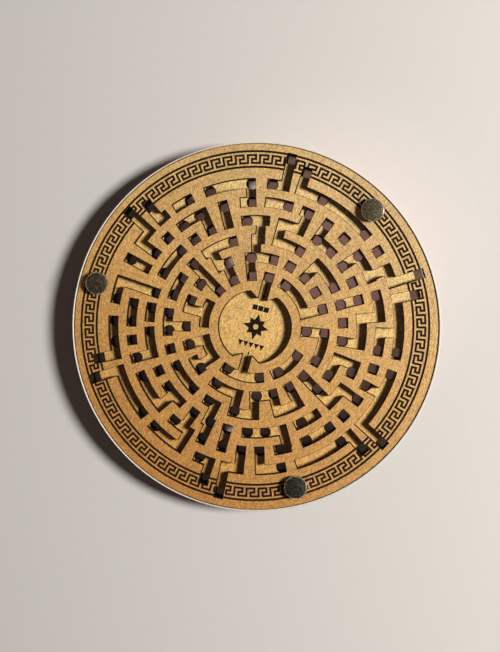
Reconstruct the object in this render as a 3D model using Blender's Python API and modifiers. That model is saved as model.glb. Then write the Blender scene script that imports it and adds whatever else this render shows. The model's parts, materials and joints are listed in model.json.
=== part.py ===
"""Tilt maze game: a hand-held, double-sided round wooden ball maze.

Five flat round layers are stacked and clamped by three binding posts: a clear
cover, a wooden maze plate with channels cut right through, a wooden middle
plate that is the floor of the channels on both sides, a second maze plate and
a second clear cover.  Holes in the middle plate let the steel ball drop from
one side to the other.

The layers lie flat and are centred on the Z axis.  Z = 0 is the plane of the
three screw heads that the game rests on, +Z points to the front, and +Y
points from the start slot to the end slot of the centre recess.
"""
import math

import bmesh
import bpy
from mathutils import Matrix

MM = 0.001

# Layers, in millimetres
GAME_RADIUS = 76.2
COVER_RADIUS = 76.6
COVER_THICKNESS = 2.0
MAZE_THICKNESS = 4.0
MIDDLE_THICKNESS = 2.7
GAP = 0.3
RIM_SIDES = 96

# Maze channels, in millimetres
CHANNEL_WIDTH = 4.0
GATE_RELIEF = 0.05
RING_PITCH = 7.67
INNER_RING_RADIUS = 21.3
RING_NAMES = "FEDCBA"
RINGS = {name: INNER_RING_RADIUS + step * RING_PITCH for step, name in enumerate(RING_NAMES)}
SLOT_PAIRS = 6
SLOT_SPREAD_DEG = 3.2
LONG_SLOT_END = 73.2
SHORT_SLOT_END = 69.4
ARC_STEP_DEG = 7.5
HOLE_DIAMETER = 4.6
SQUARE_HOLE = 3.9
HOLE_SIDES = 10
CUT_MARGIN = 1.0

# Centre recess of the front maze, in millimetres and degrees
RECESS_RADIUS = 15.3
LIP_HALF_ANGLE = 22.0
LIP_MOUTH_Y = 11.8
RECESS_STEP_DEG = 11.3

# Binding posts, in millimetres
POST_CIRCLE_RADIUS = 68.4
POST_ANGLES = (60, 180, 300)
POST_NAMES = ("right", "left", "lower")
HEAD_RADIUS = 4.75
HEAD_THICKNESS = 1.0
HEAD_EDGE = 0.25
BARREL_RADIUS = 2.5
BORE_RADIUS = 1.7
SHANK_RADIUS = 1.4
DRILL_RADIUS = 2.8
DRILL_SIDES = 16
TURNED_STEPS = 24
DRIVER_SLOT = (1.2, 12.0, 0.5)

# Steel ball, in millimetres
BALL_RADIUS = 1.5875
BALL_REST_ANGLE = 26
BALL_FLOAT = 0.3

# Heights of the stack from the resting plane, in millimetres
BACK_COVER_Z = HEAD_THICKNESS + GAP
BACK_MAZE_Z = BACK_COVER_Z + COVER_THICKNESS + GAP
MIDDLE_Z = BACK_MAZE_Z + MAZE_THICKNESS + GAP
FRONT_MAZE_Z = MIDDLE_Z + MIDDLE_THICKNESS + GAP
FRONT_COVER_Z = FRONT_MAZE_Z + MAZE_THICKNESS + GAP
FRONT_HEAD_Z = FRONT_COVER_Z + COVER_THICKNESS + GAP

# Through-holes of the middle plate, by ring, in degrees
HOLES = {
    "A": (5, 47, 55.5, 77.5, 98.5, 107, 124, 133, 167, 184, 193, 201.5, 232.5, 240, 262, 296,
          322, 356),
    "B": (4.5, 30, 50, 60, 70, 80, 90, 107, 120, 132.5, 141, 150, 159, 184.5, 193, 201.5, 210,
          219, 244.5, 260, 270, 279, 287.5, 296.5, 309.5, 322, 330.5, 340, 347.5, 356),
    "C": (30, 40, 50, 60, 70, 110, 130, 140, 150, 165, 176.5, 185, 198, 220, 230, 250, 260,
          270, 281, 290.5, 311, 350),
    "D": (6, 18, 30, 42, 75, 120, 150, 162, 174, 186.5, 198, 210, 222, 240, 253, 271, 330, 342),
    "E": (10, 30, 45, 60, 75, 90, 109, 128, 157.5, 173, 195, 210.5, 232.5, 251, 286, 300.5, 315,
          330, 346),
    "F": (10, 69, 89.5, 109, 130, 150, 251.5, 290, 311.5, 340.5),
}

# Front maze: arcs along each ring from one angle to another, in degrees
FRONT_ARCS = {
    "A": ((4.5, 26.8), (33.2, 39), (55.5, 86.8), (93.2, 98.5), (107, 124), (133, 138),
          (145, 146.8), (153.2, 159), (176.5, 184), (193, 206.8), (213.2, 232.5), (240, 253),
          (262, 266.8), (273.2, 279), (287.5, 296), (304, 326.8), (333.2, 356)),
    "B": ((4.5, 13), (20, 30), (38.5, 50), (80, 81.5), (90, 98.5), (107, 110), (130, 141),
          (167, 167), (184.5, 193), (219, 235), (244.5, 253), (296.5, 300), (309.5, 322)),
    "C": ((6, 20), (60, 70), (80, 90.5), (100, 110), (120, 120), (150, 165), (185, 190),
          (198, 210), (230, 240), (258.5, 260), (281, 300.5), (310, 320), (330, 340),
          (350, 354.5)),
    "D": ((42, 60), (75, 90.5), (102, 104.5), (120, 138), (162, 174), (186.5, 198),
          (222, 240), (253, 258.5), (271, 285), (300.5, 315), (342, 354.5)),
    "E": ((-14, 10), (90, 109.5), (128, 135), (150, 157.5), (173, 180), (225, 232.5),
          (250, 271), (285, 300.5)),
    "F": ((30, 70), (170, 190.5), (210, 230.5), (251, 290), (310, 340.5)),
}

# Front maze: radial gates as (outer ring, inner ring, angle in degrees)
FRONT_GATES = (
    ("A", "B", 13), ("A", "B", 39), ("A", "B", 107), ("A", "B", 159), ("A", "B", 167),
    ("A", "C", 176.5), ("A", "B", 253), ("A", "B", 279), ("A", "B", 287.5), ("A", "B", 347.5),
    ("B", "C", 20), ("B", "C", 50), ("B", "C", 70), ("B", "C", 80), ("B", "C", 120),
    ("B", "C", 130), ("B", "C", 210), ("B", "C", 235), ("B", "C", 250), ("B", "C", 260),
    ("B", "C", 270), ("B", "C", 300.5), ("B", "C", 340),
    ("C", "D", 6), ("C", "D", 30), ("C", "D", 90.5), ("C", "D", 102), ("C", "D", 258.5),
    ("C", "D", 330), ("C", "D", 354.5),
    ("D", "E", 60), ("D", "E", 104.5), ("D", "E", 135), ("D", "F", 150), ("D", "E", 195),
    ("D", "E", 271), ("D", "E", 285), ("D", "E", 300.5), ("D", "E", 315), ("D", "E", 330),
    ("E", "F", 10), ("E", "F", 30), ("E", "F", 109.5), ("E", "F", 130), ("E", "F", 180),
    ("E", "F", 210), ("E", "F", 230.5),
)

# Back maze: arcs, most of which join two holes of a ring
BACK_ARCS = {
    "A": ((5, 47), (55.5, 77.5), (98.5, 107), (124, 133), (167, 184), (193, 201.5),
          (232.5, 240), (262, 296), (322, 356)),
    "B": ((4.5, 30), (50, 60), (70, 80), (90, 107), (120, 132.5), (141, 150), (184.5, 193),
          (201.5, 210), (219, 244.5), (260, 270), (279, 287.5), (309.5, 322), (340, 347.5)),
    "C": ((30, 40), (60, 70), (110, 130), (140, 150), (165, 176.5), (198, 220), (230, 250),
          (270, 281), (290.5, 311)),
    "D": ((6, 18), (42, 75), (120, 150), (174, 186.5), (198, 210), (222, 240), (271, 300),
          (330, 342)),
    "E": ((10, 30), (45, 60), (75, 90), (109, 128), (157.5, 173), (210.5, 232.5), (251, 286),
          (315, 330)),
    "F": ((10, 69), (89.5, 109), (130, 150), (251.5, 290), (311.5, 340.5)),
}

# Back maze: radial gates as (outer ring, inner ring, angle in degrees)
BACK_GATES = (
    ("A", "B", 5), ("A", "B", 55.5), ("A", "B", 98.5), ("A", "B", 124), ("A", "B", 184),
    ("A", "B", 240), ("A", "B", 296.5), ("A", "B", 356), ("B", "C", 50), ("B", "C", 107),
    ("B", "C", 150), ("B", "C", 210), ("B", "C", 260), ("B", "C", 311), ("C", "D", 30),
    ("C", "D", 70), ("C", "D", 150), ("C", "D", 185), ("C", "D", 230), ("D", "E", 18),
    ("D", "E", 60), ("D", "E", 128), ("D", "E", 162), ("D", "E", 195), ("D", "E", 222),
    ("D", "E", 286), ("D", "E", 342), ("E", "F", 45), ("E", "F", 90), ("E", "F", 130),
    ("E", "F", 286), ("E", "F", 346),
)


def clear_scene():
    """Remove every object that the scene starts with."""
    for item in list(bpy.data.objects):
        bpy.data.objects.remove(item, do_unlink=True)


def new_collection(name, parent):
    """Make a collection under a parent collection."""
    collection = bpy.data.collections.new(name)
    parent.children.link(collection)
    return collection


def new_material(name, colour, roughness, metallic=0.0, alpha=1.0):
    """Make a Principled material."""
    material = bpy.data.materials.new(name)
    material.use_nodes = True
    shader = material.node_tree.nodes["Principled BSDF"]
    shader.inputs["Base Color"].default_value = (*colour, 1.0)
    shader.inputs["Roughness"].default_value = roughness
    shader.inputs["Metallic"].default_value = metallic
    shader.inputs["Alpha"].default_value = alpha
    material.diffuse_color = (*colour, alpha)
    return material


def on_circle(radius, angle, sideways=0.0):
    """Point at a radius and an angle in degrees, moved sideways along the tangent."""
    turn = math.radians(angle)
    x = radius * math.cos(turn) - sideways * math.sin(turn)
    y = radius * math.sin(turn) + sideways * math.cos(turn)
    return x, y


def finish_mesh(name, shape, collection, material=None):
    """Turn a bmesh in millimetres into an object in metres."""
    bmesh.ops.scale(shape, vec=(MM, MM, MM), verts=shape.verts)
    bmesh.ops.recalc_face_normals(shape, faces=shape.faces)
    mesh = bpy.data.meshes.new(name)
    shape.to_mesh(mesh)
    shape.free()
    item = bpy.data.objects.new(name, mesh)
    collection.objects.link(item)
    if material:
        mesh.materials.append(material)
    else:
        item.hide_render = True
        item.display_type = "WIRE"
    return item


def add_cylinder(shape, centre, radius, z_low, z_high, sides):
    """Add an upright closed cylinder to a bmesh."""
    place = Matrix.Translation((centre[0], centre[1], (z_low + z_high) / 2))
    bmesh.ops.create_cone(shape, cap_ends=True, segments=sides, radius1=radius, radius2=radius,
                          depth=z_high - z_low, matrix=place)


def extrude_outlines(name, outlines, z_low, z_high, collection):
    """Extrude flat closed outlines, which don't touch each other, into one cutter."""
    curve = bpy.data.curves.new(name, "CURVE")
    curve.dimensions = "2D"
    curve.fill_mode = "BOTH"
    curve.extrude = (z_high - z_low) / 2 * MM
    for outline in outlines:
        spline = curve.splines.new("POLY")
        spline.points.add(len(outline) - 1)
        for point, (x, y) in zip(spline.points, outline):
            point.co = (x * MM, y * MM, 0.0, 1.0)
        spline.use_cyclic_u = True
    drawn = bpy.data.objects.new(name + "_outline", curve)
    drawn.location.z = (z_low + z_high) / 2 * MM
    collection.objects.link(drawn)
    bpy.context.view_layer.update()
    evaluated = drawn.evaluated_get(bpy.context.evaluated_depsgraph_get())
    mesh = bpy.data.meshes.new_from_object(evaluated)
    shape = bmesh.new()
    shape.from_mesh(mesh)
    bmesh.ops.remove_doubles(shape, verts=shape.verts, dist=0.000005)
    bmesh.ops.recalc_face_normals(shape, faces=shape.faces)
    shape.to_mesh(mesh)
    shape.free()
    cutter = bpy.data.objects.new(name, mesh)
    cutter.matrix_world = drawn.matrix_world
    cutter.hide_render = True
    cutter.display_type = "WIRE"
    bpy.data.objects.remove(drawn, do_unlink=True)
    collection.objects.link(cutter)
    return cutter


def arc_outline(radius, start, end):
    """Outline of a channel that runs along a ring and ends square."""
    half = CHANNEL_WIDTH / 2
    steps = math.ceil((end - start) / ARC_STEP_DEG)
    angles = [start + (end - start) * step / steps for step in range(steps + 1)] if steps else []
    outer = [on_circle(radius + half, angle) for angle in angles]
    inner = [on_circle(radius - half, angle) for angle in reversed(angles)]
    return ([on_circle(radius + half, start, -half)] + outer + [on_circle(radius + half, end, half)]
            + [on_circle(radius - half, end, half)] + inner
            + [on_circle(radius - half, start, -half)])


def gate_outline(outer_radius, inner_radius, angle, half_width=CHANNEL_WIDTH / 2 - GATE_RELIEF):
    """Outline of a straight channel along a radius."""
    return [on_circle(outer_radius, angle, -half_width), on_circle(outer_radius, angle, half_width),
            on_circle(inner_radius, angle, half_width), on_circle(inner_radius, angle, -half_width)]


def slot_angles():
    """Angles of the long and the short slot of the six pairs at the rim."""
    for pair in range(SLOT_PAIRS):
        centre = 90 + 360 / SLOT_PAIRS * pair
        yield (centre + SLOT_SPREAD_DEG) % 360, LONG_SLOT_END
        yield (centre - SLOT_SPREAD_DEG) % 360, SHORT_SLOT_END


def is_covered(angle, ring, arcs):
    """Whether an arc of the ring already reaches an angle, to the nearest degree."""
    return any(start - 1 <= angle - turn <= end + 1
               for start, end in arcs[ring] for turn in (0, 360))


def cut_channels(side, arcs, gates, slot_foot, z_low, z_high, parent):
    """Make the cutters of one maze plate, in a collection of their own.

    A hole that no arc reaches gets a square pocket.  The rim slots run from their outer
    ends to the radius slot_foot, or are square pockets if it is None.
    """
    cutters = new_collection(side + "_maze_cutters", parent)
    for ring, radius in RINGS.items():
        single = [hole for hole in HOLES[ring] if not is_covered(hole, ring, arcs)]
        runs = list(arcs[ring]) + [(hole, hole) for hole in single]
        outlines = [arc_outline(radius, start, end) for start, end in runs]
        extrude_outlines(f"{side}_ring_{ring}", outlines, z_low, z_high, cutters)
        inward = [gate_outline(radius, RINGS[inner], angle)
                  for outer, inner, angle in gates if outer == ring]
        if inward:
            extrude_outlines(f"{side}_gates_{ring}", inward, z_low, z_high, cutters)
    slots = [gate_outline(end, slot_foot or end - CHANNEL_WIDTH, angle)
             for angle, end in slot_angles()]
    extrude_outlines(side + "_rim_slots", slots, z_low, z_high, cutters)
    return cutters


def drill_posts(side, z_low, z_high, cutters):
    """Make the drill for the three binding posts."""
    shape = bmesh.new()
    for angle in POST_ANGLES:
        centre = on_circle(POST_CIRCLE_RADIUS, angle)
        add_cylinder(shape, centre, DRILL_RADIUS, z_low, z_high, DRILL_SIDES)
    return finish_mesh(side + "_post_drill", shape, cutters)


def cut_with(item, cutters):
    """Subtract every cutter of a collection from an object."""
    cut = item.modifiers.new("cut", "BOOLEAN")
    cut.operation = "DIFFERENCE"
    cut.solver = "EXACT"
    cut.operand_type = "COLLECTION"
    cut.collection = cutters


def make_layer(name, radius, z_low, thickness, material, collection):
    """Make one solid round layer of the stack."""
    shape = bmesh.new()
    add_cylinder(shape, (0, 0), radius, z_low, z_low + thickness, RIM_SIDES)
    layer = finish_mesh(name, shape, collection, material)
    layer.data.shade_smooth()
    layer.data.set_sharp_from_angle(angle=math.radians(35))
    return layer


def recess_outline():
    """Circle of the centre recess with a lip beside each of its two slots."""
    half = CHANNEL_WIDTH / 2
    side = 90 - LIP_HALF_ANGLE
    steps = round(2 * side / RECESS_STEP_DEG)
    angles = [-side + 2 * side * step / steps for step in range(steps + 1)]
    right = [on_circle(RECESS_RADIUS, angle) for angle in angles]
    left = [on_circle(RECESS_RADIUS, angle + 180) for angle in angles]
    return (right + [(half, LIP_MOUTH_Y), (-half, LIP_MOUTH_Y)]
            + left + [(-half, -LIP_MOUTH_Y), (half, -LIP_MOUTH_Y)])


def make_cover(side, z_low, material, collection, parent):
    """Make a clear round cover with three post holes."""
    name = side + "_cover"
    cover = make_layer(name, COVER_RADIUS, z_low, COVER_THICKNESS, material, collection)
    cutters = new_collection(name + "_cutters", parent)
    drill_posts(name, z_low - CUT_MARGIN, z_low + COVER_THICKNESS + CUT_MARGIN, cutters)
    cut_with(cover, cutters)


def make_maze_plate(side, z_low, arcs, gates, slot_foot, material, collection, parent):
    """Make a wooden plate whose channels are cut right through."""
    name = side + "_maze_plate"
    plate = make_layer(name, GAME_RADIUS, z_low, MAZE_THICKNESS, material, collection)
    below = z_low - CUT_MARGIN
    above = z_low + MAZE_THICKNESS + CUT_MARGIN
    cutters = cut_channels(side, arcs, gates, slot_foot, below, above, parent)
    drill_posts(name, below, above, cutters)
    if side == "front":
        extrude_outlines("recess", [recess_outline()], below, above, cutters)
        mouth = LIP_MOUTH_Y - CUT_MARGIN
        end_slot = gate_outline(RINGS["F"] + CHANNEL_WIDTH / 2, mouth, 90)
        start_slot = gate_outline(RINGS["F"], mouth, 270)
        extrude_outlines("recess_slots", [end_slot, start_slot], below, above, cutters)
    cut_with(plate, cutters)


def make_middle_plate(material, collection, parent):
    """Make the wooden floor plate with its round and square through-holes."""
    plate = make_layer("middle_plate", GAME_RADIUS, MIDDLE_Z, MIDDLE_THICKNESS, material,
                       collection)
    below = MIDDLE_Z - CUT_MARGIN
    above = MIDDLE_Z + MIDDLE_THICKNESS + CUT_MARGIN
    cutters = new_collection("middle_plate_cutters", parent)
    drills = bmesh.new()
    for ring, angles in HOLES.items():
        for angle in angles:
            centre = on_circle(RINGS[ring], angle)
            add_cylinder(drills, centre, HOLE_DIAMETER / 2, below, above, HOLE_SIDES)
    finish_mesh("through_hole_drill", drills, cutters)
    squares = [gate_outline(end, end - SQUARE_HOLE, angle) for angle, end in slot_angles()]
    extrude_outlines("square_hole_cutter", squares, below, above, cutters)
    drill_posts("middle_plate", below, above, cutters)
    cut_with(plate, cutters)


def turn_profile(name, profile, place, material, collection):
    """Spin a profile of (radius, height) points about an upright axis."""
    mesh = bpy.data.meshes.new(name)
    points = [(radius * MM, 0.0, height * MM) for radius, height in profile]
    edges = [(index, index + 1) for index in range(len(points) - 1)]
    mesh.from_pydata(points, edges, [])
    item = bpy.data.objects.new(name, mesh)
    item.location = (place[0] * MM, place[1] * MM, 0.0)
    collection.objects.link(item)
    mesh.materials.append(material)
    spin = item.modifiers.new("turn", "SCREW")
    spin.steps = TURNED_STEPS
    spin.render_steps = TURNED_STEPS
    spin.use_merge_vertices = True
    spin.merge_threshold = 0.00001
    spin.use_smooth_shade = True
    return item


def make_binding_post(label, place, material, collection):
    """Make a post: a flat front head on a hollow barrel that reaches through the stack."""
    top = FRONT_HEAD_Z + HEAD_THICKNESS
    barrel_end = BACK_COVER_Z + GAP
    bore_end = FRONT_COVER_Z
    profile = [(0, top), (HEAD_RADIUS - HEAD_EDGE, top), (HEAD_RADIUS, top - HEAD_EDGE),
               (HEAD_RADIUS, FRONT_HEAD_Z), (BARREL_RADIUS, FRONT_HEAD_Z),
               (BARREL_RADIUS, barrel_end), (BORE_RADIUS, barrel_end),
               (BORE_RADIUS, bore_end), (0, bore_end)]
    turn_profile("binding_post_" + label, profile, place, material, collection)


def make_binding_screw(label, place, material, collection, parent):
    """Make a screw: a slotted flat back head with a shank inside the post's barrel."""
    name = "binding_screw_" + label
    shank_end = FRONT_MAZE_Z
    profile = [(0, shank_end), (SHANK_RADIUS, shank_end), (SHANK_RADIUS, HEAD_THICKNESS),
               (HEAD_RADIUS, HEAD_THICKNESS), (HEAD_RADIUS, HEAD_EDGE),
               (HEAD_RADIUS - HEAD_EDGE, 0), (0, 0)]
    screw = turn_profile(name, profile, place, material, collection)
    width, length, depth = DRIVER_SLOT
    shape = bmesh.new()
    bmesh.ops.create_cube(shape, size=1.0)
    bmesh.ops.scale(shape, vec=(length, width, 2 * depth), verts=shape.verts)
    bmesh.ops.translate(shape, vec=(place[0], place[1], 0.0), verts=shape.verts)
    cutters = new_collection(name + "_cutters", parent)
    finish_mesh(name + "_driver_slot", shape, cutters)
    cut_with(screw, cutters)


def make_ball(material, collection):
    """Make the steel ball on an empty that turns about the centre of the game."""
    height = BACK_COVER_Z + COVER_THICKNESS + BALL_FLOAT + BALL_RADIUS
    pivot = bpy.data.objects.new("ball_pivot", None)
    pivot.location = (0.0, 0.0, height * MM)
    collection.objects.link(pivot)
    shape = bmesh.new()
    bmesh.ops.create_uvsphere(shape, u_segments=20, v_segments=12, radius=BALL_RADIUS)
    ball = finish_mesh("steel_ball", shape, collection, material)
    ball.data.shade_smooth()
    ball.parent = pivot
    x, y = on_circle(RINGS["A"], BALL_REST_ANGLE)
    ball.location = (x * MM, y * MM, 0.0)


def build():
    """Build the whole game."""
    clear_scene()
    scene_root = bpy.context.scene.collection
    game = new_collection("tilt_maze_game", scene_root)
    cutters = new_collection("cutters", scene_root)

    clear_plastic = new_material("clear_plastic", (0.90, 0.93, 0.93), 0.05, alpha=0.2)
    back_plastic = new_material("back_plastic", (0.88, 0.92, 0.92), 0.06, alpha=0.2)
    front_wood = new_material("front_wood", (0.66, 0.43, 0.17), 0.55)
    middle_wood = new_material("middle_wood", (0.60, 0.38, 0.15), 0.6)
    back_wood = new_material("back_wood", (0.64, 0.41, 0.16), 0.55)
    aged_brass = new_material("aged_brass", (0.16, 0.15, 0.09), 0.4, metallic=1.0)
    screw_brass = new_material("screw_brass", (0.2, 0.17, 0.1), 0.42, metallic=1.0)
    polished_steel = new_material("polished_steel", (0.72, 0.73, 0.75), 0.12, metallic=1.0)

    make_cover("front", FRONT_COVER_Z, clear_plastic, game, cutters)
    make_maze_plate("front", FRONT_MAZE_Z, FRONT_ARCS, FRONT_GATES, RINGS["A"], front_wood, game,
                    cutters)
    make_middle_plate(middle_wood, game, cutters)
    make_maze_plate("back", BACK_MAZE_Z, BACK_ARCS, BACK_GATES, None, back_wood, game, cutters)
    make_cover("back", BACK_COVER_Z, back_plastic, game, cutters)
    for label, angle in zip(POST_NAMES, POST_ANGLES):
        place = on_circle(POST_CIRCLE_RADIUS, angle)
        make_binding_post(label, place, aged_brass, game)
        make_binding_screw(label, place, screw_brass, game, cutters)
    make_ball(polished_steel, game)


build()
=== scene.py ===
"""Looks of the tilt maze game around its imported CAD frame.

The wooden plates, the clear covers, the posts and the screws are rebuilt from the outlines and
boxes of their CAD nodes, with finer arcs, burnt edges and engraving.  The ball keeps its node.
Shapes are drawn in millimetres and scaled to metres when their mesh is made.
"""
import json
import math

import bmesh
import bpy
from mathutils import Matrix, Vector
from mathutils.geometry import delaunay_2d_cdt

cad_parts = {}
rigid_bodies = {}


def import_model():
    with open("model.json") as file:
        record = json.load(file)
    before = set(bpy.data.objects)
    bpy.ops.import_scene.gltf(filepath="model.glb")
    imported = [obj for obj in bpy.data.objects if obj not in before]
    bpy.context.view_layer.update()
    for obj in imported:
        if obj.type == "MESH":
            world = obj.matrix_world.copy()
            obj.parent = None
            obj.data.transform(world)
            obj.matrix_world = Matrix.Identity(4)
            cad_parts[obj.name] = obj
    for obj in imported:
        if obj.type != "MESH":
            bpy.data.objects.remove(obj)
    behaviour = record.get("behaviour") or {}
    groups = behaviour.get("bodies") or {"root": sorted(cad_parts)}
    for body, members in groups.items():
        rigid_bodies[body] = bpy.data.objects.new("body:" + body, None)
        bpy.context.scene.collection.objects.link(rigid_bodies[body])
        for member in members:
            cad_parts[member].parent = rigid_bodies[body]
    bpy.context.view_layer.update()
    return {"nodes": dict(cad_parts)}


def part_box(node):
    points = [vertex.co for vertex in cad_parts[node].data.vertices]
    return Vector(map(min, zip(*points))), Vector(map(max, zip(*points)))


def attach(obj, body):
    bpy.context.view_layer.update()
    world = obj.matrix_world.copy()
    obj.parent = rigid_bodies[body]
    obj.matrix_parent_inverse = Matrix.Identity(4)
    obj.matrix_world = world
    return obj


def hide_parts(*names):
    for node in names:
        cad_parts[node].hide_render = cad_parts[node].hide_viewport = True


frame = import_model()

MM = 0.001

# Circles that the CAD arcs lie on, and how outlines are redrawn; lengths in millimetres
FIRST_RING = 21.3
RING_PITCH = 7.67
RING_RADII = [FIRST_RING + RING_PITCH * ring for ring in range(6)]
CHANNEL_HALF = 2.0
RECESS_RADIUS = 15.3
RIM_RADIUS = 76.2
COVER_RIM_RADIUS = 76.6
ARC_RADII = [ring + side for ring in RING_RADII for side in (-CHANNEL_HALF, CHANNEL_HALF)]
ARC_RADII += [RECESS_RADIUS, RIM_RADIUS, COVER_RIM_RADIUS]
SNAP = 0.15
ARC_STEP = math.radians(1.25)
ROUND_SIDES = (10, 16)
FINE_SIDES = 36
FLAT = 0.01
ROUND_SPREAD = 0.02
SHORTEST_EDGE = 0.15
SHARPEST_MITRE = 0.5
SHARP_DEG = 35
MERGE = 0.0001
CAD_MERGE = 0.001
BALL_MERGE = 0.005

# Edges and engraving, in millimetres
BURNT_BEVEL = 0.18
FLOOR_BEVEL = 0.1
COVER_BEVEL = 0.15
ENGRAVE_DEPTH = 0.25
MARGIN = 0.5
RING_SIDES = 288
BORDER_CENTRE = (-0.72, 0.13)
BORDER_LINES = (66.1, 72.55)
BORDER_STROKE = 0.9
# Dark band round the rim: its width, and the shift of its inner edge that makes it widest towards
# the image's right
DARK_RIM_WIDTH = 0.27
DARK_RIM_SHIFT = 0.40
MEANDER_LOW = 67.7
MEANDER_HIGH = 70.95
MEANDER_UNITS = 86
MEANDER_START_DEG = 82.13

# Posts and screws, in millimetres
TURNED_SIDES = 64
HEAD_THICKNESS = 1.0
POST_EDGE = 0.35
POST_EDGE_BANDS = (1, 2, 3)
SCREW_EDGE = 0.3
BARREL_RADIUS = 2.5
BORE_RADIUS = 1.7
BORE_TOP = 3.3
SHANK_RADIUS = 1.4
SLOT_LENGTH = 12.0
SLOT_WIDTH = 1.2
SLOT_DEPTH = 0.5

# Wood grain and its painted sheen, paler towards the image's upper right; in degrees and
# millimetres
GRAIN_TURN_DEG = -2.5
SHEEN_PAINT_DEG = 80.0
SHEEN_PAINT_REACH = 75.0
SHEEN_PAINT_TINTS = ((0.87, 0.73, 0.45), (1.09, 1.14, 1.06), (1.12, 1.39, 1.82))

# Camera, in degrees and millimetres; the view is measured on the plane of the wood
IMAGE_RIGHT_DEG = 15.42
TILT_RIGHT_DEG = 5.3
TILT_UP_DEG = 1.4
CAMERA_DISTANCE = 540.0
VIEW_HEIGHT = 270.906
VIEW_SHIFT = (-1.9944, 0.4155)
SENSOR = 36.0

# Stage and light: sizes and distances in metres
FLOOR_HALF = 3.0
FLOOR_DROP = 0.00002
SPOT_POWER = 43.0
SPOT_COLOUR = (1.0, 0.50, 0.41)
SPOT_DISTANCE = 1.6
SPOT_AIM = 0.030
SPOT_WIDTH_DEG = 5.0
SPOT_SOFTNESS = 0.03
SKY_COLOUR = (1.0, 0.80, 0.68)
SKY_LEVEL = 0.03
HORIZON_LEVEL = 0.5
HORIZON_HEIGHT = 0.38

# Dark, middle and light tones of each material
FRONT_WOOD = ((0.37, 0.175, 0.043), (0.57, 0.30, 0.088), (0.73, 0.43, 0.152))
# The middle plate is the front plate's wood painted lighter: painted light on the recessed channel
# floors
MIDDLE_WOOD_PAINTED_LIGHTER = ((0.47, 0.26, 0.066), (0.70, 0.41, 0.132), (0.86, 0.56, 0.215))
BACK_WOOD = ((0.38, 0.19, 0.05), (0.56, 0.30, 0.095), (0.70, 0.42, 0.16))
# One aged brass for the posts, painted lighter on the right post as a painted sheen and darker on
# the lower post as painted shade
POST_PATINAS_AND_PAINTED_LIGHT = {
    "right": ((0.062, 0.058, 0.036), (0.095, 0.080, 0.048), (0.135, 0.105, 0.062)),
    "left": ((0.056, 0.052, 0.032), (0.085, 0.072, 0.043), (0.121, 0.094, 0.056)),
    "lower": ((0.022, 0.024, 0.017), (0.036, 0.037, 0.026), (0.060, 0.058, 0.042)),
}
# Lighter brass on the rounded edges of the post heads: a painted highlight ring
EDGE_HIGHLIGHT_PAINT = ((0.42, 0.35, 0.25), (0.58, 0.49, 0.36), (0.78, 0.68, 0.52))
SCREW_PATINA = ((0.07, 0.06, 0.034), (0.11, 0.09, 0.05), (0.17, 0.13, 0.07))


def polar(radius, angle):
    """Point at a radius and an angle in radians."""
    return radius * math.cos(angle), radius * math.sin(angle)


def circle(centre, radius, sides):
    """Closed outline of a circle."""
    turns = [2 * math.pi * side / sides for side in range(sides)]
    return [(centre[0] + radius * math.cos(turn), centre[1] + radius * math.sin(turn))
            for turn in turns]


# ---------------------------------------------------------------- outlines of the CAD nodes

def flat_outlines(node, height):
    """Closed outlines of a CAD node's upward face at a height; the material is on the left."""
    shape = bmesh.new()
    shape.from_mesh(frame["nodes"][node].data)
    bmesh.ops.remove_doubles(shape, verts=shape.verts, dist=CAD_MERGE * MM)
    directed = set()
    for face in shape.faces:
        level = all(abs(vert.co.z / MM - height) < FLAT for vert in face.verts)
        if face.normal.z > 0.9 and level:
            for corner in face.loops:
                directed.add((corner.vert, corner.link_loop_next.vert))
    following = {start: end for start, end in directed if (end, start) not in directed}
    outlines = []
    for first in sorted(following, key=lambda vert: vert.index):
        outline = []
        vert = first
        while vert in following:
            outline.append((vert.co.x / MM, vert.co.y / MM))
            vert = following.pop(vert)
        if outline:
            outlines.append(outline)
    shape.free()
    return outlines


def middle_of(outline):
    """Mean of the points of an outline."""
    return sum((Vector(point) for point in outline), Vector((0, 0))) / len(outline)


def is_round(outline):
    """Whether an outline is one of the small drilled circles."""
    if len(outline) not in ROUND_SIDES:
        return False
    centre = middle_of(outline)
    spans = [(Vector(point) - centre).length for point in outline]
    return max(spans) - min(spans) < ROUND_SPREAD


def refine_circle(outline):
    """Redraw a drilled circle with more sides, clockwise as a hole is."""
    centre = middle_of(outline)
    radius = (Vector(outline[0]) - centre).length
    return list(reversed(circle(centre, radius, FINE_SIDES)))


def refine_arcs(outline):
    """Put the corners of faceted arcs on their true circles, with more points between them."""
    corners = []
    for x, y in outline:
        radius = math.hypot(x, y)
        nearest = min(ARC_RADII, key=lambda known: abs(known - radius))
        on_arc = abs(nearest - radius) < SNAP
        corners.append((nearest if on_arc else radius, math.atan2(y, x), on_arc))
    points = []
    for (radius, angle, on_arc), following in zip(corners, corners[1:] + corners[:1]):
        points.append(polar(radius, angle))
        turn = (following[1] - angle + math.pi) % (2 * math.pi) - math.pi
        if on_arc and following[2] and abs(following[0] - radius) < MERGE:
            steps = math.ceil(abs(turn) / ARC_STEP)
            points += [polar(radius, angle + turn * step / steps) for step in range(1, steps)]
    return points


def fine_outlines(node, height):
    """Outlines of a CAD node's upward face, with smooth circles and arcs."""
    fine = []
    for outline in flat_outlines(node, height):
        if is_round(outline):
            fine.append(refine_circle(outline))
        elif len(outline) <= 4:
            fine.append(outline)
        else:
            fine.append(refine_arcs(outline))
    return [clean_outline(outline) for outline in fine]


def clean_outline(outline):
    """Drop points that nearly coincide with the one before."""
    kept = []
    for point in outline:
        if not kept or math.dist(point, kept[-1]) > SHORTEST_EDGE:
            kept.append(point)
    while len(kept) > 3 and math.dist(kept[0], kept[-1]) <= SHORTEST_EDGE:
        kept.pop()
    return kept


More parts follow.
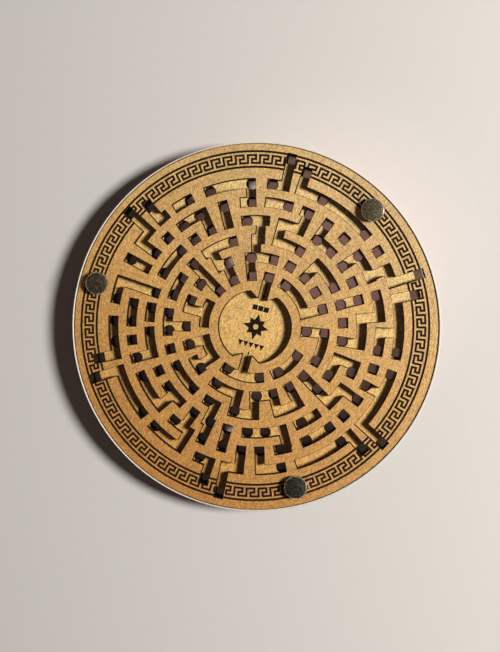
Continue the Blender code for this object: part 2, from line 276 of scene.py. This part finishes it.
def offset_outline(outline, distance):
    """Move a closed outline to its left by a distance, with mitred corners."""
    moved = []
    for index, point in enumerate(outline):
        before = Vector(outline[index - 1])
        here = Vector(point)
        after = Vector(outline[(index + 1) % len(outline)])
        first = (here - before).normalized()
        second = (after - here).normalized()
        normal = Vector((-first.y - second.y, first.x + second.x)).normalized()
        lean = max(SHARPEST_MITRE, normal.dot(Vector((-first.y, first.x))))
        moved.append(tuple(here + normal * (distance / lean)))
    return moved


def signed_area(outline):
    """Area inside a closed outline, negative if it runs clockwise."""
    return sum(a[0] * b[1] - b[0] * a[1] for a, b in zip(outline, outline[1:] + outline[:1])) / 2


# ---------------------------------------------------------------- meshes

def cap_faces(outlines, height, upward):
    """Fill nested outlines at a height, leaving their holes open; returns points and faces."""
    points = [Vector(point) for outline in outlines for point in outline]
    loops = []
    first = 0
    for outline in outlines:
        loop = list(range(first, first + len(outline)))
        loops.append(loop if signed_area(outline) > 0 else loop[::-1])
        first += len(outline)
    filled = delaunay_2d_cdt(points, [], loops, 1, 0.00001, True)
    corners = [(point.x, point.y, height) for point in filled[0]]
    solid = [face for face, inside in zip(filled[2], filled[5]) if len(inside) % 2 == 1]
    faces = [list(face) if upward else list(reversed(face)) for face in solid]
    return corners, faces


def make_prism(outlines, low, high, bevel=0.0):
    """Build a closed bmesh between two heights from outlines with material on their left.

    Material index 0 is for the flat faces, and 1 for the walls and bevels.
    """
    if bevel:
        inner = [offset_outline(outline, bevel) for outline in outlines]
        levels = [(inner, low), (outlines, low + bevel), (outlines, high - bevel), (inner, high)]
    else:
        inner = outlines
        levels = [(outlines, low), (outlines, high)]
    shape = bmesh.new()
    for number, outline in enumerate(outlines):
        rings = [[shape.verts.new((*point, height)) for point in drawn[number]]
                 for drawn, height in levels]
        for below, above in zip(rings, rings[1:]):
            for index in range(len(outline)):
                after = (index + 1) % len(outline)
                wall = shape.faces.new((below[index], below[after], above[after], above[index]))
                wall.material_index = 1
    for height, upward in ((low, False), (high, True)):
        corners, faces = cap_faces(inner, height, upward)
        verts = [shape.verts.new(corner) for corner in corners]
        for face in faces:
            shape.faces.new([verts[index] for index in face])
    bmesh.ops.remove_doubles(shape, verts=shape.verts, dist=MERGE)
    return shape


def finish_object(name, shape, materials, sharp_deg=SHARP_DEG):
    """Turn a bmesh in millimetres into a linked object in metres."""
    bmesh.ops.scale(shape, vec=(MM, MM, MM), verts=shape.verts)
    bmesh.ops.recalc_face_normals(shape, faces=shape.faces)
    mesh = bpy.data.meshes.new(name)
    shape.to_mesh(mesh)
    shape.free()
    for material in materials:
        mesh.materials.append(material)
    mesh.shade_smooth()
    mesh.set_sharp_from_angle(angle=math.radians(sharp_deg))
    item = bpy.data.objects.new(name, mesh)
    bpy.context.scene.collection.objects.link(item)
    return item


def engrave(item, outline_groups, low, high, materials):
    """Cut each group of outlines out of an object between two heights, in its last material."""
    cutters = bpy.data.collections.new(item.name + "_cutters")
    for number, outlines in enumerate(outline_groups):
        shape = make_prism(outlines, low, high)
        for face in shape.faces:
            face.material_index = len(materials) - 1
        cutter = finish_object(f"{item.name}_cutter_{number}", shape, materials)
        cutters.objects.link(cutter)
    cut = item.modifiers.new("engraving", "BOOLEAN")
    cut.operation = "DIFFERENCE"
    cut.solver = "EXACT"
    cut.operand_type = "COLLECTION"
    cut.collection = cutters
    bpy.context.view_layer.update()
    evaluated = item.evaluated_get(bpy.context.evaluated_depsgraph_get())
    mesh = bpy.data.meshes.new_from_object(evaluated)
    item.modifiers.clear()
    item.data = mesh
    mesh.name = item.name
    mesh.shade_smooth()
    mesh.set_sharp_from_angle(angle=math.radians(SHARP_DEG))
    for cutter in list(cutters.objects):
        bpy.data.objects.remove(cutter, do_unlink=True)
    bpy.data.collections.remove(cutters)
    return item


# ---------------------------------------------------------------- engraved patterns

def ring_outlines(radius, stroke):
    """Outlines of a thin closed ring."""
    outer = circle((0, 0), radius + stroke / 2, RING_SIDES)
    inner = circle((0, 0), radius - stroke / 2, RING_SIDES)
    return [outer, list(reversed(inner))]


def meander_outlines():
    """Outlines of the angular meander, drawn as one closed stroke round the rim."""
    rise = MEANDER_HIGH - MEANDER_LOW
    middle = (MEANDER_HIGH + MEANDER_LOW) / 2
    pitch = 2 * math.pi * middle / MEANDER_UNITS
    unit = ((0, 0), (0, rise), (2 / 3 * pitch, rise), (2 / 3 * pitch, rise / 2),
            (pitch / 3, rise / 2), (pitch / 3, 0))
    path = [(x + number * pitch, y) for number in range(MEANDER_UNITS) for x, y in unit]
    count = len(path)
    total = MEANDER_UNITS * pitch
    sides = ([], [])
    for index, (x, y) in enumerate(path):
        before = path[index - 1] if index else (path[-1][0] - total, path[-1][1])
        after = path[index + 1] if index + 1 < count else (path[0][0] + total, path[0][1])
        first = Vector((x - before[0], y - before[1])).normalized()
        second = Vector((after[0] - x, after[1] - y)).normalized()
        lean = Vector((-first.y - second.y, first.x + second.x)) * (BORDER_STROKE / 2)
        for side, sign in zip(sides, (1, -1)):
            along = (x + sign * lean.x) / middle
            side.append(polar(MEANDER_LOW + y + sign * lean.y,
                              math.radians(MEANDER_START_DEG) - along))
    return [list(sides[0]), list(reversed(sides[1]))]


def arrow_outline(tail, tip, shaft=0.5, head=1.3, head_length=2.2):
    """Outline of an arrow along the Y axis."""
    way = 1 if tip > tail else -1
    neck = tip - way * head_length
    right = [(shaft / 2, tail), (shaft / 2, neck), (head / 2, neck)]
    left = [(-x, y) for x, y in reversed(right)]
    return right + [(0, tip)] + left


def square_outlines(centre, size, pitch, count):
    """A row of squares."""
    outlines = []
    for number in range(count):
        x = centre[0] + (number - (count - 1) / 2) * pitch - size / 2
        y = centre[1] - size / 2
        outlines.append([(x, y), (x + size, y), (x + size, y + size), (x, y + size)])
    return outlines


def triangle_outlines(centre, size, pitch, count):
    """A row of triangles that point along -Y."""
    outlines = []
    for number in range(count):
        x = centre[0] + (number - (count - 1) / 2) * pitch
        top = centre[1] + size / 2
        outlines.append([(x - size / 2, top), (x, top - size), (x + size / 2, top)])
    return outlines


def rosette_outlines(long_tip, short_tip, valley, hub):
    """An eight-pointed star with a round opening at its centre."""
    star = []
    for point in range(8):
        star.append(polar(short_tip if point % 2 else long_tip, math.radians(45 * point)))
        star.append(polar(valley, math.radians(45 * point + 22.5)))
    return [star, list(reversed(circle((0, 0), hub, 24)))]


def shift_outlines(outlines, offset):
    """Move outlines sideways by an offset."""
    return [[(x + offset[0], y + offset[1]) for x, y in outline] for outline in outlines]


def border_groups(centre):
    """The two border lines and the meander between them, about a centre."""
    groups = [ring_outlines(radius, BORDER_STROKE) for radius in BORDER_LINES]
    groups.append(meander_outlines())
    return [shift_outlines(group, centre) for group in groups]


def rim_outlines():
    """Dark crescent round the rim, widest towards the image's right."""
    outer = circle((0, 0), RIM_RADIUS + MARGIN, RING_SIDES)
    centre = polar(-DARK_RIM_SHIFT, math.radians(IMAGE_RIGHT_DEG))
    inner = circle(centre, RIM_RADIUS - DARK_RIM_WIDTH, RING_SIDES)
    return [outer, list(reversed(inner))]


# ---------------------------------------------------------------- materials

def new_tree(name):
    """Make a node material and return it with its tree, shader and output."""
    material = bpy.data.materials.new(name)
    material.use_nodes = True
    tree = material.node_tree
    shader = tree.nodes["Principled BSDF"]
    output = tree.nodes["Material Output"]
    return material, tree, shader, output


def add_noise(tree, scale, stretch=(1, 1, 1), turn=0.0, detail=2.0, roughness=0.5):
    """Noise over object coordinates, stretched and turned about Z; returns its value socket."""
    where = tree.nodes.new("ShaderNodeTexCoord")
    mapping = tree.nodes.new("ShaderNodeMapping")
    mapping.vector_type = "TEXTURE"
    mapping.inputs["Rotation"].default_value = (0, 0, math.radians(turn))
    mapping.inputs["Scale"].default_value = stretch
    noise = tree.nodes.new("ShaderNodeTexNoise")
    noise.inputs["Scale"].default_value = scale
    noise.inputs["Detail"].default_value = detail
    noise.inputs["Roughness"].default_value = roughness
    tree.links.new(where.outputs["Object"], mapping.inputs["Vector"])
    tree.links.new(mapping.outputs["Vector"], noise.inputs["Vector"])
    return noise.outputs["Fac"]


def add_ramp(tree, value, stops):
    """Colour ramp over a value; stops are (position, colour)."""
    ramp = tree.nodes.new("ShaderNodeValToRGB")
    points = ramp.color_ramp.elements
    for position, colour in stops[2:]:
        points.new(position)
    for point, (position, colour) in zip(points, sorted(stops)):
        point.position = position
        point.color = (*colour, 1.0)
    tree.links.new(value, ramp.inputs["Fac"])
    return ramp.outputs["Color"]


def add_mix(tree, first, second, share, mode="MIX"):
    """Blend two colours; share is a number or a socket."""
    mix = tree.nodes.new("ShaderNodeMix")
    mix.data_type = "RGBA"
    mix.blend_type = mode
    for socket, value in ((mix.inputs[6], first), (mix.inputs[7], second), (mix.inputs[0], share)):
        if isinstance(value, bpy.types.NodeSocket):
            tree.links.new(value, socket)
        elif isinstance(value, tuple):
            socket.default_value = (*value, 1.0)
        else:
            socket.default_value = value
    return mix.outputs[2]


def add_painted_sheen(tree, near, middle, far):
    """Painted sheen and shade: slow change of tint across the board, from a darker edge through
    the middle to a paler one.
    """
    where = tree.nodes.new("ShaderNodeTexCoord")
    along = tree.nodes.new("ShaderNodeVectorMath")
    along.operation = "DOT_PRODUCT"
    along.inputs[1].default_value = polar(0.5 / SHEEN_PAINT_REACH / MM, math.radians(SHEEN_PAINT_DEG)) + (0,)
    centred = tree.nodes.new("ShaderNodeMath")
    centred.operation = "ADD"
    centred.inputs[1].default_value = 0.5
    tree.links.new(where.outputs["Object"], along.inputs[0])
    tree.links.new(along.outputs["Value"], centred.inputs[0])
    return add_ramp(tree, centred.outputs["Value"], [(0.0, near), (1.0, far), (0.5, middle)])


def add_range(tree, value, low, high):
    """Map a value from 0..1 to low..high."""
    span = tree.nodes.new("ShaderNodeMapRange")
    span.inputs["To Min"].default_value = low
    span.inputs["To Max"].default_value = high
    tree.links.new(value, span.inputs["Value"])
    return span.outputs["Result"]


def add_bump(tree, shader, height, strength, distance):
    """Bump the shader's normal by a height."""
    bump = tree.nodes.new("ShaderNodeBump")
    bump.inputs["Strength"].default_value = strength
    bump.inputs["Distance"].default_value = distance
    tree.links.new(height, bump.inputs["Height"])
    tree.links.new(bump.outputs["Normal"], shader.inputs["Normal"])


def grey(level):
    """The same level for red, green and blue."""
    return (level, level, level)


def make_wood(name, tones):
    """Fine-grained wood board: short flecks along the grain over slow clouds of tone, under a
    painted sheen that is paler towards one edge.
    """
    material, tree, shader, _ = new_tree(name)
    dark, base, light = tones
    flecks = add_noise(tree, 2600, (1.0, 1.3, 1.0), GRAIN_TURN_DEG, 2.0, 0.6)
    clouds = add_noise(tree, 60, (1.0, 2.5, 1.0), GRAIN_TURN_DEG, 3.0)
    pores = add_noise(tree, 2300, (1.0, 4.5, 1.0), GRAIN_TURN_DEG, 1.0)
    grain = add_ramp(tree, flecks, [(0.38, dark), (0.62, light), (0.5, base)])
    tone = add_ramp(tree, clouds, [(0.3, grey(0.92)), (0.7, grey(1.06))])
    speck = add_ramp(tree, pores, [(0.32, grey(0.70)), (0.60, grey(1.08))])
    # Painted sheen: paler towards the image's upper right, darker and more saturated towards its
    # lower left
    painted_sheen = add_painted_sheen(tree, *SHEEN_PAINT_TINTS)
    with_painted_sheen = add_mix(tree, grain, painted_sheen, 1.0, "MULTIPLY")
    toned = add_mix(tree, with_painted_sheen, tone, 1.0, "MULTIPLY")
    colour = add_mix(tree, toned, speck, 1.0, "MULTIPLY")
    tree.links.new(colour, shader.inputs["Base Color"])
    tree.links.new(add_range(tree, flecks, 0.58, 0.42), shader.inputs["Roughness"])
    shader.inputs["Specular IOR Level"].default_value = 0.9
    add_bump(tree, shader, flecks, 0.35, 0.00012)
    return material


def make_burnt(name, dark, light):
    """Laser-burnt wood: dark brown with fine streaks down the cut walls."""
    material, tree, shader, _ = new_tree(name)
    streaks = add_noise(tree, 1700, (1.0, 1.0, 14.0), 0.0, 2.0)
    soot = add_noise(tree, 160, (1.0, 1.0, 1.0), 0.0, 2.0)
    burnt = add_ramp(tree, streaks, [(0.32, dark), (0.72, light)])
    sooty = add_ramp(tree, soot, [(0.3, grey(0.65)), (0.7, grey(1.15))])
    tree.links.new(add_mix(tree, burnt, sooty, 1.0, "MULTIPLY"), shader.inputs["Base Color"])
    tree.links.new(add_range(tree, streaks, 0.9, 0.7), shader.inputs["Roughness"])
    shader.inputs["Specular IOR Level"].default_value = 0.15
    add_bump(tree, shader, streaks, 0.3, 0.0001)
    return material


def add_mirror_share(tree):
    """Share of light a clear face mirrors: little face on, more at a grazing angle."""
    facing = tree.nodes.new("ShaderNodeLayerWeight")
    steep = tree.nodes.new("ShaderNodeMath")
    steep.operation = "POWER"
    steep.inputs[1].default_value = 5.0
    tree.links.new(facing.outputs["Facing"], steep.inputs[0])
    return add_range(tree, steep.outputs["Value"], 0.04, 0.9)


def make_clear(name):
    """Clear acrylic face: what is behind shows through, with a faint mirror."""
    material, tree, shader, output = new_tree(name)
    shader.inputs["Base Color"].default_value = (1.0, 1.0, 1.0, 1.0)
    shader.inputs["Metallic"].default_value = 1.0
    haze = add_noise(tree, 60, (1.0, 1.0, 1.0), 0.0, 3.0)
    tree.links.new(add_range(tree, haze, 0.03, 0.09), shader.inputs["Roughness"])
    clear = tree.nodes.new("ShaderNodeBsdfTransparent")
    clear.inputs["Color"].default_value = (0.985, 0.985, 0.98, 1.0)
    mix = tree.nodes.new("ShaderNodeMixShader")
    tree.links.new(add_mirror_share(tree), mix.inputs[0])
    tree.links.new(clear.outputs["BSDF"], mix.inputs[1])
    tree.links.new(shader.outputs["BSDF"], mix.inputs[2])
    tree.links.new(mix.outputs["Shader"], output.inputs["Surface"])
    return material


def make_frosted(name):
    """Laser-cut acrylic edge: bright, slightly frosted and partly clear."""
    material, tree, shader, _ = new_tree(name)
    streaks = add_noise(tree, 900, (1.0, 1.0, 6.0), 0.0, 2.0)
    colour = add_ramp(tree, streaks, [(0.3, (0.95, 0.89, 0.78)), (0.7, (1.0, 0.97, 0.88))])
    tree.links.new(colour, shader.inputs["Base Color"])
    tree.links.new(add_range(tree, streaks, 0.2, 0.4), shader.inputs["Roughness"])
    shader.inputs["Alpha"].default_value = 0.85
    return material


def make_brass(name, tones, dull=0.56, shiny=0.46):
    """Aged brass: dull greenish patina, finely speckled; dull and shiny are its roughnesses."""
    material, tree, shader, _ = new_tree(name)
    dark, base, light = tones
    clouds = add_noise(tree, 700, (1.0, 1.0, 1.0), 0.0, 3.0, 0.6)
    specks = add_noise(tree, 2200, (1.0, 1.0, 1.0), 0.0, 2.0)
    brass_tones = add_ramp(tree, clouds, [(0.35, dark), (0.68, light), (0.5, base)])
    spots = add_ramp(tree, specks, [(0.36, grey(0.35)), (0.72, grey(2.8)), (0.56, grey(1.0))])
    tree.links.new(add_mix(tree, brass_tones, spots, 1.0, "MULTIPLY"), shader.inputs["Base Color"])
    tree.links.new(add_range(tree, clouds, dull, shiny), shader.inputs["Roughness"])
    shader.inputs["Metallic"].default_value = 0.75
    add_bump(tree, shader, specks, 0.12, 0.00008)
    return material


def make_steel(name):
    """Polished ball steel with faint scuffs."""
    material, tree, shader, _ = new_tree(name)
    scuffs = add_noise(tree, 1500, (1.0, 4.0, 1.0), 30.0, 3.0)
    colour = add_ramp(tree, scuffs, [(0.3, grey(0.62)), (0.7, grey(0.8))])
    tree.links.new(colour, shader.inputs["Base Color"])
    tree.links.new(add_range(tree, scuffs, 0.1, 0.22), shader.inputs["Roughness"])
    shader.inputs["Metallic"].default_value = 1.0
    return material


def make_floor_paint(name):
    """Plain pale matt floor with a barely visible tooth."""
    material, tree, shader, _ = new_tree(name)
    tooth = add_noise(tree, 300, (1.0, 1.0, 1.0), 0.0, 3.0)
    colour = add_ramp(tree, tooth, [(0.3, (0.555, 0.555, 0.55)), (0.7, (0.565, 0.565, 0.56))])
    tree.links.new(colour, shader.inputs["Base Color"])
    shader.inputs["Roughness"].default_value = 0.8
    return material


# ---------------------------------------------------------------- pieces

def place_piece(item, node):
    """Let a piece stand for a CAD node on the game's body."""
    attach(item, "game")
    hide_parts(node)


def heights_of(node):
    """Lowest and highest point of a CAD node, in millimetres."""
    low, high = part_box(node)
    return low.z / MM, high.z / MM


def head_circle(node):
    """Centre and radius of a post or a screw, seen from above, in millimetres."""
    low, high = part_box(node)
    centre = ((low.x + high.x) / 2 / MM, (low.y + high.y) / 2 / MM)
    return centre, (high.x - low.x) / 2 / MM


def bare_rim(shape, high):
    """Leave the top edge of a plate's rim unburnt."""
    for face in shape.faces:
        middle = face.calc_center_median()
        if middle.xy.length > RIM_RADIUS - BURNT_BEVEL and middle.z > high - BURNT_BEVEL:
            face.material_index = 0


def make_front_maze(materials):
    """Front maze plate with burnt channel edges, an engraved border and a dark crescent round the
    rim.
    """
    low, high = heights_of("front_maze_plate")
    outlines = fine_outlines("front_maze_plate", high)
    shape = make_prism(outlines, low, high, BURNT_BEVEL)
    bare_rim(shape, high)
    plate = finish_object("front_maze", shape, materials)
    groups = border_groups(BORDER_CENTRE) + [rim_outlines()]
    engrave(plate, groups, high - ENGRAVE_DEPTH, high + MARGIN, materials)
    place_piece(plate, "front_maze_plate")


def make_back_maze(materials):
    """Back maze plate, with a centred border and a star on its outer face."""
    low, high = heights_of("back_maze_plate")
    outlines = fine_outlines("back_maze_plate", high)
    plate = finish_object("back_maze", make_prism(outlines, low, high, BURNT_BEVEL), materials)
    star = rosette_outlines(long_tip=10.6, short_tip=6.6, valley=3.0, hub=1.8)
    groups = border_groups((0, 0)) + [star]
    engrave(plate, groups, low - MARGIN, low + ENGRAVE_DEPTH, materials)
    place_piece(plate, "back_maze_plate")


def make_middle_floor(materials):
    """Middle plate: the channel floor, with the marks of the centre recess."""
    low, high = heights_of("middle_plate")
    outlines = fine_outlines("middle_plate", high)
    plate = finish_object("middle_floor", make_prism(outlines, low, high, FLOOR_BEVEL), materials)
    marks = [arrow_outline(tail=18.5, tip=11.4), arrow_outline(tail=-10.9, tip=-19.8)]
    marks += square_outlines((0.0, 7.9), size=2.15, pitch=2.4, count=3)
    marks += triangle_outlines((0.0, -8.0), size=2.25, pitch=2.3, count=5)
    star = rosette_outlines(long_tip=5.6, short_tip=4.6, valley=3.0, hub=1.1)
    groups = [[mark] for mark in marks] + [star]
    engrave(plate, groups, high - ENGRAVE_DEPTH, high + MARGIN, materials)
    place_piece(plate, "middle_plate")


def make_cover(side, clear, frosted):
    """Clear round cover with bright cut edges, which casts no shadow on the plates."""
    node = side + "_cover"
    low, high = heights_of(node)
    outlines = fine_outlines(node, high)
    shape = make_prism(outlines, low, high, COVER_BEVEL)
    cover = finish_object(side + "_clear_cover", shape, [clear, frosted])
    cover.visible_shadow = False
    cover.visible_diffuse = False
    place_piece(cover, node)


def turn_object(name, profile, centre, materials, edge_bands=()):
    """Spin a profile of (radius, height) points about an upright axis.

    The profile starts and ends on the axis.  Its bands numbered in edge_bands take the second
    material.
    """
    shape = bmesh.new()
    rings = []
    for radius, height in profile:
        if radius == 0:
            rings.append([shape.verts.new((*centre, height))])
        else:
            points = circle(centre, radius, TURNED_SIDES)
            rings.append([shape.verts.new((*point, height)) for point in points])
    for number, (below, above) in enumerate(zip(rings, rings[1:])):
        for index in range(TURNED_SIDES):
            # A ring of one point gives its point twice, and the repeat is dropped
            corners = [ring[(index + step) % len(ring)]
                       for ring, steps in ((below, (0, 1)), (above, (1, 0))) for step in steps]
            band = shape.faces.new(list(dict.fromkeys(corners)))
            band.material_index = 1 if number in edge_bands else 0
    return finish_object(name, shape, materials, sharp_deg=30)


def rounded_head(low, high, radius, edge, outward):
    """Profile of a flat head with a rounded outer edge, from its middle to its shoulder."""
    top = high if outward > 0 else low
    shoulder = low if outward > 0 else high
    profile = [(0, top)]
    for step in range(4):
        turn = math.radians(30 * step)
        profile.append((radius - edge + edge * math.sin(turn),
                        top - outward * (edge - edge * math.cos(turn))))
    return profile + [(radius, shoulder)]


def make_post(label, brass, edge_highlight):
    """Binding post: a flat round head on a hollow barrel, its rounded edge in lighter brass as a
    painted highlight.
    """
    node = "binding_post_" + label
    centre, radius = head_circle(node)
    bottom, top = heights_of(node)
    shoulder = top - HEAD_THICKNESS
    head = rounded_head(shoulder, top, radius, POST_EDGE, 1)
    barrel = [(BARREL_RADIUS, shoulder), (BARREL_RADIUS, bottom), (BORE_RADIUS, bottom),
              (BORE_RADIUS, top - BORE_TOP), (0, top - BORE_TOP)]
    post = turn_object("post_" + label, head + barrel, centre, [brass, edge_highlight], POST_EDGE_BANDS)
    place_piece(post, node)


def slot_outline(centre):
    """Outline of the driver slot, longer than the head it crosses."""
    x, y = centre
    half_length = SLOT_LENGTH / 2
    half_width = SLOT_WIDTH / 2
    return [(x - half_length, y - half_width), (x + half_length, y - half_width),
            (x + half_length, y + half_width), (x - half_length, y + half_width)]


def make_screw(label, brass):
    """Binding screw: a flat slotted head on a shank."""
    node = "binding_screw_" + label
    centre, radius = head_circle(node)
    bottom, top = heights_of(node)
    shoulder = bottom + HEAD_THICKNESS
    head = rounded_head(bottom, shoulder, radius, SCREW_EDGE, -1)
    shank = [(SHANK_RADIUS, shoulder), (SHANK_RADIUS, top), (0, top)]
    screw = turn_object("screw_" + label, head + shank, centre, [brass, brass])
    engrave(screw, [[slot_outline(centre)]], bottom - MARGIN, bottom + SLOT_DEPTH, [brass, brass])
    place_piece(screw, node)


def finish_ball(steel):
    """Give the CAD ball a polished surface and a finer mesh at render time."""
    ball = frame["nodes"]["steel_ball"]
    ball.material_slots[0].material = steel
    weld = ball.modifiers.new("weld", "WELD")
    weld.merge_threshold = BALL_MERGE * MM
    smooth = ball.modifiers.new("smooth", "SUBSURF")
    smooth.levels = 2
    smooth.render_levels = 2


# ---------------------------------------------------------------- stage, light and camera

def image_axes():
    """Directions of the image's right and up on the game's plane."""
    turn = math.radians(IMAGE_RIGHT_DEG)
    right = Vector((math.cos(turn), math.sin(turn), 0))
    return right, Vector((-right.y, right.x, 0))


def view_axis():
    """Direction from the game towards the camera."""
    right, up = image_axes()
    lean = Vector((0, 0, 1)) + right * math.tan(math.radians(TILT_RIGHT_DEG))
    lean += up * math.tan(math.radians(TILT_UP_DEG))
    return lean.normalized()


def make_floor(paint):
    """Large flat floor that the game lies on."""
    shape = bmesh.new()
    bmesh.ops.create_grid(shape, x_segments=8, y_segments=8, size=FLOOR_HALF / MM)
    floor = finish_object("floor", shape, [paint])
    floor.location.z = -FLOOR_DROP
    return floor


def place_lamp(data, place, target):
    """Put a light at a place, aimed at a target."""
    lamp = bpy.data.objects.new(data.name, data)
    lamp.location = place
    lamp.rotation_euler = (target - place).to_track_quat("-Z", "Y").to_euler()
    bpy.context.scene.collection.objects.link(lamp)
    return lamp


def add_area(name, direction, elevation, distance, size, power, colour):
    """Soft round light aimed at the game; direction is turned from the image's right."""
    right, up = image_axes()
    turn = math.radians(direction)
    lift = math.radians(elevation)
    flat = right * math.cos(turn) + up * math.sin(turn)
    place = (flat * math.cos(lift) + Vector((0, 0, math.sin(lift)))) * distance
    data = bpy.data.lights.new(name, "AREA")
    data.shape = "DISK"
    data.size = size
    data.energy = power
    data.color = colour
    return place_lamp(data, place, Vector((0, 0, 0)))


def light_floor(floor):
    """Warm spot from above on the floor alone, seen through the drop holes."""
    data = bpy.data.lights.new("floor_spot", "SPOT")
    data.energy = SPOT_POWER
    data.color = SPOT_COLOUR
    data.shadow_soft_size = SPOT_SOFTNESS
    data.spot_size = math.radians(SPOT_WIDTH_DEG)
    data.spot_blend = 1.0
    right, up = image_axes()
    lamp = place_lamp(data, view_axis() * SPOT_DISTANCE, (right + up) * SPOT_AIM)
    lamp.visible_glossy = False
    receivers = bpy.data.collections.new("floor_only")
    receivers.objects.link(floor)
    lamp.light_linking.receiver_collection = receivers


def make_world():
    """Plain studio surroundings: dim overhead and pale towards the horizon."""
    world = bpy.data.worlds.new("studio")
    world.use_nodes = True
    tree = world.node_tree
    where = tree.nodes.new("ShaderNodeTexCoord")
    split = tree.nodes.new("ShaderNodeSeparateXYZ")
    fade = tree.nodes.new("ShaderNodeMapRange")
    fade.interpolation_type = "SMOOTHSTEP"
    fade.inputs["From Max"].default_value = HORIZON_HEIGHT
    fade.inputs["To Min"].default_value = HORIZON_LEVEL
    fade.inputs["To Max"].default_value = SKY_LEVEL
    ground = tree.nodes["Background"]
    ground.inputs["Color"].default_value = (*SKY_COLOUR, 1.0)
    tree.links.new(where.outputs["Generated"], split.inputs[0])
    tree.links.new(split.outputs["Z"], fade.inputs["Value"])
    tree.links.new(fade.outputs["Result"], ground.inputs["Strength"])
    bpy.context.scene.world = world


def make_camera():
    """Camera at the viewing angle of the photograph."""
    _, up = image_axes()
    wood_top = heights_of("front_maze_plate")[1] * MM
    back = view_axis()
    data = bpy.data.cameras.new("camera")
    data.sensor_width = SENSOR
    data.lens = SENSOR * CAMERA_DISTANCE / VIEW_HEIGHT
    data.shift_x = VIEW_SHIFT[0] / VIEW_HEIGHT
    data.shift_y = VIEW_SHIFT[1] / VIEW_HEIGHT
    data.clip_start = 0.01
    data.clip_end = 20.0
    camera = bpy.data.objects.new("camera", data)
    camera.location = Vector((0, 0, wood_top)) + back * CAMERA_DISTANCE * MM
    side = up.cross(back).normalized()
    rise = back.cross(side)
    camera.rotation_euler = matrix_from_axes(side, rise, back).to_euler()
    bpy.context.scene.collection.objects.link(camera)
    bpy.context.scene.camera = camera


def matrix_from_axes(side, rise, back):
    """Rotation whose columns are the camera's axes."""
    return Matrix((side, rise, back)).transposed()


def build():
    """Make every piece, the stage, the lights and the camera."""
    bpy.context.scene.view_settings.view_transform = "Standard"
    burnt = make_burnt("burnt_edge", (0.009, 0.004, 0.002), (0.050, 0.020, 0.008))
    char = make_burnt("engraved_char", (0.004, 0.002, 0.001), (0.022, 0.009, 0.004))
    clear = make_clear("clear_acrylic")
    frosted = make_frosted("acrylic_edge")
    # Lighter brass for the post heads' rounded edges: a painted highlight
    highlight_brass = make_brass("post_edge_painted_highlight", EDGE_HIGHLIGHT_PAINT, dull=0.30, shiny=0.20)
    screw_brass = make_brass("aged_screw_brass", SCREW_PATINA)
    make_front_maze([make_wood("front_wood_grain", FRONT_WOOD), burnt, char])
    # Middle plate in wood painted lighter: painted light on the recessed floors
    make_middle_floor([make_wood("middle_wood_grain_painted_lighter", MIDDLE_WOOD_PAINTED_LIGHTER), burnt, char])
    make_back_maze([make_wood("back_wood_grain", BACK_WOOD), burnt, char])
    make_cover("front", clear, frosted)
    make_cover("back", clear, frosted)
    # Post patinas painted lighter on the right post and darker on the lower one: painted sheen and
    # painted shade
    for label, brass_tones in POST_PATINAS_AND_PAINTED_LIGHT.items():
        make_post(label, make_brass("post_patina_and_painted_light_" + label, brass_tones), highlight_brass)
        make_screw(label, screw_brass)
    finish_ball(make_steel("polished_steel"))
    floor = make_floor(make_floor_paint("pale_floor"))
    add_area("key", direction=5, elevation=48, distance=1.1, size=0.24, power=18,
             colour=(1.0, 0.95, 0.88))
    fill = add_area("fill", direction=15, elevation=84, distance=1.5, size=0.1, power=0.5,
                    colour=(1.0, 0.56, 0.44))
    fill.visible_glossy = False
    light_floor(floor)
    make_world()
    make_camera()


build()
